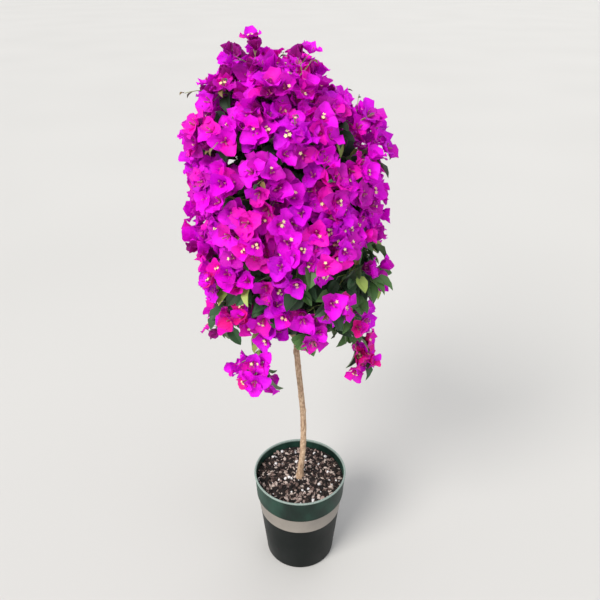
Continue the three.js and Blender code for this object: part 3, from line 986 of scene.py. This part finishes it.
def outward(point):
    """Straight out through the crown's skin from a point, the way its light comes in."""
    offset = point - crown_axis(point[2])
    offset[2] = point[2] - crown_middle
    return unit(offset / [crown_radius**2, crown_radius**2, crown_half_height**2])


def blossom_share(z):
    share = (z - blossom["from"]) / blossom["over"]
    return min(max(share, blossom["least"]), blossom["most"])


def along_line(line, back):
    """The point and heading on a twig's line at a run back from its end."""
    steps = np.linalg.norm(np.diff(line, axis=0), axis=1)[::-1]
    for k, step in enumerate(steps):
        if back <= step or k == len(steps) - 1:
            end, start = line[len(line) - 1 - k], line[len(line) - 2 - k]
            return end + (start - end) * min(back / step, 1), unit(end - start)
        back -= step


def pick(draw, shares):
    value = draw() * sum(shares)
    for k, share in enumerate(shares):
        value -= share
        if value < 0:
            return k
    return len(shares) - 1


def bract_pick(draw, z):
    """A bract's colour at a height: cooler in the crown, with more pink and some rose in the skirt."""
    return pick(draw, bract_shares_low if z < rose_below else bract_shares_high)


class Spots:
    """Places that are taken, so that nothing is dealt out in the same place as another."""

    def __init__(self, points=()):
        self.points = np.array(points).reshape(-1, 3)

    def near(self, point, gap):
        return bool((((self.points - point) ** 2).sum(axis=1) < gap**2).any())

    def take(self, point, gap):
        """Takes a place if it is free, and says whether it was."""
        if self.near(point, gap):
            return False
        self.points = np.vstack([self.points, point])
        return True


def cluster_on(foot, heading, stalk, tilt, azimuth, draw, looks):
    """Sets a cluster on its own short stalk, turned towards the light, with some of its flowers out.
    looks holds its shade, its size and its openness, from 0 for a bud to 1."""
    along = leaning(heading, tilt, azimuth)
    light = outward(foot)
    tip = foot + stalk * unit(along + stalk_sunward * light)
    sunward = np.array([light[0], light[1], max(light[2], cluster_aim["least_rise"])])
    aim = cluster_aim["along"] * along + cluster_aim["sunward"] * sunward + [0, 0, cluster_aim["up"]]
    axis = unit(aim + cluster_aim["aside"] * scatter(draw))
    turn, stars = draw() * math.tau, pick(draw, flowers_out)
    if in_reach(tip) and cluster_spots.take(tip, cluster_gap):
        arched = curve_points(foot, (foot + tip) / 2 + stalk_arch, tip, 2)
        twig_heap.add(*tube(arched, cluster_stalks["radii"], 4), twig_make["young"]["shade"])
        cluster_sites.append({"foot": tip, "axis": axis, "turn": turn, "stars": stars} | looks)


def clusters_along(twig, turn, bract_shade):
    """The clusters of a flowering twig, from its end back. The first one is a bud on some twigs."""
    draw = twig["draw"]
    is_stray, at_top = twig["kind"] == "stray", twig["to"][2] > top_from
    is_sprig = is_stray and at_top
    budding = draw() < budding_shares["sprig" if is_sprig else "top" if at_top else "below"]
    count = int(between(cluster_counts["stray" if is_stray else "other"], draw()))
    for k in range(count):
        point, heading = along_line(twig["line"], k * cluster_step)
        if budding and k == 0:
            shade = budding_shade
            openness = bud_openness * draw()
        else:
            shade = bract_shade if draw() < own_shade_share else bract_pick(draw, point[2])
            openness = between(openness_range, draw())
        form = "bud" if openness < bud_openness else "sprig" if is_sprig else "other"
        size = cluster_sizes[form] + cluster_sizes["more"] * draw()
        stalk = cluster_stalks["end"] if k == 0 else between(cluster_stalks["side"], draw())
        tilt = cluster_tilts["end" if k == 0 else "side"]
        looks = {"shade": shade, "size": size, "openness": openness}
        cluster_on(point, heading, stalk, tilt, turn + k * cluster_turn, draw, looks)


def leaf_on(foot, heading, azimuth, draw, shade, size):
    """Sets a leaf off a twig: its stalk leans out and its blade hangs and faces the light."""
    light = outward(foot)
    along = leaning(heading, leaf_aim["tilt"], azimuth) + leaf_aim["sunward"] * light
    along = unit(along - [0, 0, between(leaf_aim["droop"], draw())])
    facing = leaf_facing["sunward"] * light + [0, 0, leaf_facing["up"]]
    facing = unit(facing + leaf_facing["aside"] * scatter(draw))
    roll = leaf_aim["roll"] * (draw() - 0.5)
    site = {"foot": foot, "along": along, "facing": facing, "size": size, "roll": roll}
    leaf_sites.append(site | {"shade": shade})


def leaves_along(twig, turn, flowers, leaf_shade):
    """A twig's leaves, from its end back, or from under its clusters. The ones at a tip are small."""
    draw, kind = twig["draw"], twig["kind"]
    is_young, z = kind == "young", twig["to"][2]
    length = np.linalg.norm(np.diff(twig["line"], axis=0), axis=1).sum()
    reach = min(length - leafless_foot, leaves_over["flowering" if flowers else "leafy"])
    is_sparse = is_young or (kind == "stray" and z > top_from)
    crowding = "sparse" if is_sparse else "under_blossom" if flowers and z > crown_middle else "close"
    spacing = leaf_spacing * leaf_spacing_shares[crowding]
    tip = young_tip_leaves if is_young else tip_leaves
    back, k = leaves_from if flowers else 0, 0
    while back < reach:
        point, heading = along_line(twig["line"], back)
        at_tip = not flowers and kind not in inside_kinds and k < tip["count"]
        size = tip["smallest"] + tip["step"] * k if at_tip else between(leaf_sizes, draw())
        shade = leaf_shade if draw() < own_shade_share else pick(draw, leaf_shares_outside)
        if at_tip and draw() < tip["tinted"]:
            shade = young_shade
        leaf_on(point, heading, turn + 1 + k * golden_angle, draw, shade, size)
        back += spacing * between(leaf_spacing_jitter, draw())
        k += 1


cluster_spots = Spots()
for twig in crown_twigs:
    kind = twig["kind"]
    if kind == "stemlet":
        continue
    draw = twig["draw"]
    turn = draw() * math.tau
    may_flower = kind not in inside_kinds and kind != "young"
    flowers = may_flower and (draw() < blossom_share(twig["to"][2]) or kind == "stray")
    # Inside leaves take mostly the dark green, which is painted shade.
    leaf_shade = pick(draw, leaf_shares_inside_painted_shade if kind in inside_kinds else leaf_shares_outside)
    bract_shade = bract_pick(draw, twig["to"][2])
    if flowers:
        clusters_along(twig, turn, bract_shade)
    leaves_along(twig, turn, flowers, leaf_shade)

twigs = twig_heap.finished("twigs", 50)
for name, hex_colour in twig_colours.items():
    twigs.data.materials.append(twig_finish(name, hex_colour))
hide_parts(*foliage_nodes)
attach(twigs, "root")

# Leaves: thin smooth ovate blades with a drawn-out point, folded along the midrib and arched down,
# each on a short stalk, paler underneath. They are dealt out by spray, from a dark green that is painted
# shade to a sunlit green that is painted sunlight.
leaf_blade = {"length": 50 * mm, "half_width": 15 * mm, "thickness": 0.35 * mm, "rows": 5, "columns": 2}
leaf_outline = {"widest": 0.38, "fullness": 0.95}
leaf_stalk = {"length": 9 * mm, "into_blade": 2 * mm, "radii": [0.7 * mm, 0.5 * mm]}
leaf_first_pitch = 20
leaf_ripples = 1.3
leaf_forms = [
    {"fold": 0.54, "arch": 45, "wave": 0.08, "phase": 0},
    {"fold": 0.52, "arch": 75, "wave": 0.12, "phase": 1},
    {"fold": 0.7, "arch": 60, "wave": 0.05, "phase": 2},
    {"fold": 0.56, "arch": 30, "wave": 0.12, "phase": 3},
    {"fold": 0.62, "arch": 85, "wave": 0.1, "phase": 4},
]
underside_shade = len(leaf_colours)
leaf_gap = 10 * mm
heart_gap = 18 * mm
heart_depths = (10 * mm, 27 * mm)
bract_middle = 23 * mm
bract_gap = 17 * mm


def placed(points, foot, along, facing, size, roll=0.0):
    """A template made along +Y that faces +Z, set on a foot to point one way and face another."""
    across = unit(np.cross(along, facing))
    up = np.cross(across, along)
    turned_across = math.cos(roll) * across + math.sin(roll) * up
    return foot + size * (points @ np.array([turned_across, along, np.cross(turned_across, along)]))


def blade(form, outline, pitch, lift):
    """A thin closed blade from the origin along +Y. Its midrib climbs at the pitch in degrees of each
    run from 0 to 1, its edges meet in one smooth curve, and lift raises it by side and run. Returns
    its points and faces, the ones of its upper side first, with the number of those. The faces of
    both sides start at the same corner, so that they bend along the same diagonal."""
    rows, columns = form["rows"], form["columns"]
    runs = 0.5 - 0.5 * np.cos(np.linspace(0, math.pi, rows + 2))
    slopes = np.radians([pitch(run) for run in (runs[1:] + runs[:-1]) / 2])
    steps = form["length"] * np.diff(runs)[:, None] * np.stack([np.cos(slopes), np.sin(slopes)], axis=1)
    middle = np.concatenate([[[0, 0]], np.cumsum(steps, axis=0)])
    power = math.log(0.5) / math.log(outline["widest"])
    top, under = [np.zeros(3)], []
    for k in range(1, rows + 1):
        width = form["half_width"] * math.sin(math.pi * runs[k] ** power) ** outline["fullness"]
        climb = (slopes[k - 1] + slopes[k]) / 2
        normal = np.array([0, -math.sin(climb), math.cos(climb)])
        for side in np.linspace(-1, 1, columns + 1):
            point = np.array([side * width, *middle[k]]) + width * lift(side, runs[k]) * normal
            top.append(point)
            if abs(side) < 1:
                under.append(point - form["thickness"] * normal)
    tip = len(top)
    top.append(np.array([0, *middle[-1]]))

    def upper(row, column):
        return 1 + row * (columns + 1) + column

    def lower(row, column):
        at_edge = column in (0, columns)
        return upper(row, column) if at_edge else tip + 1 + row * (columns - 1) + column - 1

    upper_faces, lower_faces = [], []
    for column in range(columns):
        right = column + 1
        upper_faces.append((0, upper(0, right), upper(0, column)))
        lower_faces.append((0, lower(0, column), lower(0, right)))
        upper_faces.append((upper(rows - 1, column), upper(rows - 1, right), tip))
        lower_faces.append((lower(rows - 1, right), lower(rows - 1, column), tip))
        for row in range(rows - 1):
            first, second, third, fourth = (row, column), (row, right), (row + 1, right), (row + 1, column)
            upper_faces.append(tuple(upper(*corner) for corner in (first, second, third, fourth)))
            lower_faces.append(tuple(lower(*corner) for corner in (first, fourth, third, second)))
    return np.array(top + under), upper_faces + lower_faces, len(upper_faces)


def joined(parts):
    """Templates as one, with their faces renumbered."""
    whole = Heap()
    for points, faces in parts:
        whole.add(points, faces)
    return np.concatenate(whole.verts), whole.faces


def leaf_template(form):
    """A leaf on its stalk, with the number of the faces that come first and are its upper side."""

    def pitch(run):
        return leaf_first_pitch - form["arch"] * run

    def lift(side, run):
        ripple = math.sin(math.tau * run * leaf_ripples + form["phase"])
        return form["fold"] * abs(side) + form["wave"] * side * ripple

    points, faces, upper_count = blade(leaf_blade, leaf_outline, pitch, lift)
    points[:, 1] += leaf_stalk["length"]
    stalk_line = np.array([[0, 0, 0], [0, leaf_stalk["length"] + leaf_stalk["into_blade"], 0]])
    points, faces = joined([(points, faces), tube(stalk_line, leaf_stalk["radii"], 3)])
    return points, faces, upper_count


def bract_middles_of(site):
    """About where the middles of a cluster's three bracts stand, once it is open."""
    for third in (0, math.tau / 3, -math.tau / 3):
        out = unit(site["axis"] + side_of(site["axis"], site["turn"] + third))
        yield site["foot"] + site["size"] * bract_middle * out


def leaf_finish(name, hex_colour):
    """A thin waxy leaf: even in tone, a soft shine that breaks up over fine veins and blisters."""
    veins = {"size": 3.8 * mm, "detail": 3, "strength": 0.45, "depth": 0.8 * mm}
    material, shader, height = grained("bougainvillea leaf, " + name, hex_colour, 0.42, 1.45, veins)
    wax = add_node(material, "MapRange", {"Value": height, "To Min": 0.4, "To Max": 0.66})
    feed(shader, {"Roughness": wax})
    return material


leaf_templates = [leaf_template(form) for form in leaf_forms]
leaf_heap, leaf_spots = Heap(), Spots()
cluster_hearts = Spots([site["foot"] + d * site["axis"] for site in cluster_sites for d in heart_depths])
bract_middles = Spots([middle for site in cluster_sites for middle in bract_middles_of(site)])
for k, site in enumerate(leaf_sites):
    middle, tip = (
        site["foot"] + site["size"] * (leaf_stalk["length"] + share * leaf_blade["length"]) * site["along"]
        for share in (0.5, 1)
    )
    in_cluster = any(cluster_hearts.near(point, heart_gap) for point in (middle, tip))
    if in_cluster or any(bract_middles.near(point, bract_gap) for point in (middle, tip)):
        continue
    if leaf_spots.take(middle, leaf_gap):
        points, faces, upper_count = leaf_templates[k % len(leaf_templates)]
        shades = [site["shade"]] * upper_count + [underside_shade] * (len(faces) - upper_count)
        where = (site["foot"], site["along"], site["facing"], site["size"], site["roll"])
        leaf_heap.add(placed(points, *where), faces, shades)
leaves = leaf_heap.finished("leaves", 52)
for name, hex_colour in (leaf_colours | {"underside": "6C8A5E"}).items():
    leaves.data.materials.append(leaf_finish(name, hex_colour))
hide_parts(*foliage_nodes)
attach(leaves, "root")

# Bract clusters: three papery bracts stand round three small flowers. Each bract is broad and ovate
# with a short point, cupped where it starts and turned out at its tip, with a crinkled, wavy edge.
bract_blade = {"length": 37 * mm, "half_width": 17.5 * mm, "thickness": 0.4 * mm, "rows": 5, "columns": 4}
bract_outline = {"widest": 0.44, "fullness": 0.7}
bract_foot = 1.5 * mm
bract_crease = 0.14
bract_jitters = {"length": 0.08, "pitch": 7, "turn": 0.14}
crinkles = {"along": 1.8, "across": 1.9, "next": 0.21, "in_middle": 0.3}
cup_fades = 0.6
opens_early = 0.8
cluster_forms = [
    {"start": 84, "end": 82, "cup": 0.85, "wave": 0.05, "phase": 1.0},
    {"start": 80, "end": 60, "cup": 0.7, "wave": 0.08, "phase": 4.7},
    {"start": 76, "end": 40, "cup": 0.6, "wave": 0.2, "phase": 2.5},
    {"start": 72, "end": 26, "cup": 0.5, "wave": 0.28, "phase": 0.9},
    {"start": 68, "end": 12, "cup": 0.45, "wave": 0.32, "phase": 0.3},
    {"start": 64, "end": 4, "cup": 0.4, "wave": 0.36, "phase": 1.4},
    {"start": 58, "end": -6, "cup": 0.3, "wave": 0.38, "phase": 3.6},
    {"start": 60, "end": -22, "cup": 0.35, "wave": 0.4, "phase": 5.8},
]
flower_tube = {"length": 17 * mm, "radii": [0.9 * mm, 1.35 * mm, 1.5 * mm], "tilt": 0.32}
flower_jitters = {"turn": 0.3, "tilt": 0.3}
star = {"radii": (4.2 * mm, 2.52 * mm), "rises": (1.8 * mm, 0.8 * mm), "heart": 0.6 * mm, "back": 0.5 * mm}
flower_colours = {"green and pink tube": "B0647A", "cream star": "F2E3A6"}
bract_zones = {"crown_bracts": 0.35, "middle_bracts": -0.25, "skirt_bracts": -math.inf}


def about_z(points, azimuth):
    c, s = math.cos(azimuth), math.sin(azimuth)
    return points @ np.array([[c, s, 0], [-s, c, 0], [0, 0, 1]])


def cluster_template(form):
    """Three bracts that open from one pitch to another, no two alike, as a cluster that faces +Z."""
    phase = form["phase"]
    parts = []
    for k in range(3):

        def lift(side, run, k=k):
            turns = crinkles["along"] * run + crinkles["next"] * k
            crinkle = math.sin(math.tau * turns + phase + crinkles["across"] * side)
            crease = bract_crease * (abs(side) - 0.5)
            wave = form["wave"] * crinkle * (crinkles["in_middle"] + side**2)
            return form["cup"] * side**2 * (1 - cup_fades * run) + crease + wave

        def pitch(run, k=k):
            own = bract_jitters["pitch"] * math.sin(phase + 2 * k)
            return form["start"] + (form["end"] - form["start"]) * run**opens_early + own

        length = bract_blade["length"] * (1 + bract_jitters["length"] * math.sin(phase * 3 + k))
        points, faces, _ = blade(bract_blade | {"length": length}, bract_outline, pitch, lift)
        points[:, 1] += bract_foot
        turn = k * math.tau / 3 + bract_jitters["turn"] * math.sin(phase + 3 * k)
        parts.append((about_z(points, turn), faces))
    return joined(parts)


def open_star(mouth, heading):
    """A flower's five-pointed star on the mouth of its tube, as points and faces."""
    first = side_of(heading, 0)
    second = np.cross(heading, first)
    points = []
    for j in range(10):
        azimuth = j * math.pi / 5
        out = star["radii"][j % 2] * (math.cos(azimuth) * first + math.sin(azimuth) * second)
        points.append(mouth + heading * star["rises"][j % 2] + out)
    points += [mouth + heading * star["heart"], mouth - heading * star["back"]]
    rim = [(j, (j + 1) % 10) for j in range(10)]
    return np.array(points), [(a, b, 10) for a, b in rim] + [(b, a, 11) for a, b in rim]


def flower_template(open_count):
    """The cluster's flowers: slim tubes along its bracts, some of them open in a small cream star."""
    phase = 0.8 * open_count
    tubes, stars = [], []
    for k in range(3):
        azimuth = k * math.tau / 3 + math.pi / 2 + flower_jitters["turn"] * math.sin(phase + k)
        tilt = flower_tube["tilt"] * (1 + flower_jitters["tilt"] * math.sin(2 * phase + k))
        aside = math.sin(tilt) * np.array([math.cos(azimuth), math.sin(azimuth), 0])
        heading = aside + [0, 0, math.cos(tilt)]
        line = np.array([0.0, 0.5, 1.0])[:, None] * heading * flower_tube["length"]
        tubes.append(tube(line, flower_tube["radii"], 5))
        if k < open_count:
            stars.append(open_star(line[-1], heading))
    return joined(tubes), joined(stars) if stars else None


def bract_shades(site, faces_each, draw):
    """A cluster's shades: most of its bracts keep the spray's own, and all of a bud's do."""
    shades = []
    for _ in range(3):
        keeps = site["shade"] == budding_shade or draw() < own_shade_share
        shades += [site["shade"] if keeps else pick(draw, bract_shares_high)] * faces_each
    return shades


def bract_finish(name, hex_colour):
    """A papery bract: vivid through and through, dry to the touch, and light shines through it."""
    crinkles = {"size": 6.7 * mm, "detail": 3, "strength": 0.8, "depth": 1.6 * mm}
    material, shader, _ = grained("bougainvillea bract, " + name, hex_colour, 0.62, 1.4, crinkles)
    glow = {"Subsurface Weight": 0.45, "Subsurface Radius": (1, 0.3, 0.8), "Subsurface Scale": 2 * mm}
    feed(shader, {"Specular IOR Level": 0.3} | glow)
    return material


def flower_finish(name, hex_colour):
    """A waxy flower: smooth, pale and soft, with a faint grain."""
    grain = {"size": 1.7 * mm, "detail": 2, "strength": 0.3, "depth": 0.3 * mm}
    return grained("bougainvillea flower, " + name, hex_colour, 0.5, 1.4, grain)[0]


cluster_templates = [cluster_template(form) for form in cluster_forms]
flower_templates = [flower_template(count) for count in range(len(flowers_out))]
bract_heaps = {zone: Heap() for zone in bract_zones}
flower_heap = Heap()
shade_draw = seeded(target_seed)
for site in cluster_sites:
    form = min(int(site["openness"] * len(cluster_forms)), len(cluster_forms) - 1)
    along = side_of(site["axis"], site["turn"])
    where = (site["foot"], along, site["axis"], site["size"])
    points, faces = cluster_templates[form]
    rise = (site["foot"][2] - crown_middle) / crown_half_height
    zone = next(zone for zone, lowest in bract_zones.items() if rise > lowest)
    bract_heaps[zone].add(placed(points, *where), faces, bract_shades(site, len(faces) // 3, shade_draw))
    tubes, stars = flower_templates[site["stars"]]
    if form:
        flower_heap.add(placed(tubes[0], *where), tubes[1], 0)
    if form and stars:
        flower_heap.add(placed(stars[0], *where), stars[1], 1)
bract_pieces = [heap.finished(zone, 60) for zone, heap in bract_heaps.items()]
flowers = flower_heap.finished("flowers", 50)
bract_materials = [bract_finish(name, hex_colour) for name, hex_colour in bract_colours.items()]
for piece in bract_pieces:
    for material in bract_materials:
        piece.data.materials.append(material)
for name, hex_colour in flower_colours.items():
    flowers.data.materials.append(flower_finish(name, hex_colour))
for piece in (*bract_pieces, flowers):
    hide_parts(*foliage_nodes)
    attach(piece, "root")

# Studio: a plain pale floor, soft light from the upper left, and the camera at the height and pitch
# from which the picture looks down on the plant.
start_alone()
bpy.ops.mesh.primitive_plane_add(size=60, location=(0, 0, 0))
floor = bpy.context.object
floor.name = "studio_floor"


def floor_paint():
    """Matt paper-white paint, in clouds over a metre across that can hardly be seen."""
    material, shader, place = new_material("studio floor, matt pale paint", 0.85)
    clouds = add_node(material, "TexNoise", {"Vector": place, "Scale": 1 / 1.4, "Detail": 0})
    whites = [(0.2, "CDCCC9"), (0.8, "D0CFCC")]
    feed(shader, {"Base Color": add_node(material, "ValToRGB", {"Fac": clouds}, whites)})
    return material


floor.data.materials.append(floor_paint())

camera_height = 1.632
camera_distance = 1.374
camera_pitch = 28.8
camera_view = 51.4
camera_data = bpy.data.cameras.new("camera")
camera_data.sensor_fit = "HORIZONTAL"
camera_data.angle = math.radians(camera_view)
camera = bpy.data.objects.new("camera", camera_data)
camera.location = (0, -camera_distance, camera_height)
camera.rotation_euler = (math.radians(90 - camera_pitch), 0, 0)
bpy.context.scene.collection.objects.link(camera)
bpy.context.scene.camera = camera


def soft_light(name, place, power, angle, colour):
    """A lamp so far off that it lights the whole floor evenly, and wide enough for soft shadows."""
    data = bpy.data.lights.new(name, "SUN")
    data.angle = math.radians(angle)
    data.energy = power
    data.color = colour
    light = bpy.data.objects.new(name, data)
    light.location = place
    aim = Vector((0, 0, crown_middle)) - light.location
    light.rotation_euler = aim.to_track_quat("-Z", "Y").to_euler()
    bpy.context.scene.collection.objects.link(light)


soft_light("key", (-1.7, -1.9, 3.3), 2.9, 32, (1, 0.97, 0.93))
soft_light("fill", (2.4, -1.6, 2.2), 0.4, 50, (0.94, 0.96, 1))
soft_light("back", (1.2, 2.6, 2.4), 0.5, 50, (1, 0.98, 0.96))
world = bpy.data.worlds.new("studio")
world.use_nodes = True
feed(world.node_tree.nodes["Background"], {"Color": linear("ECEEF2"), "Strength": 0.7})
bpy.context.scene.world = world
bpy.context.scene.view_settings.view_transform = "Standard"
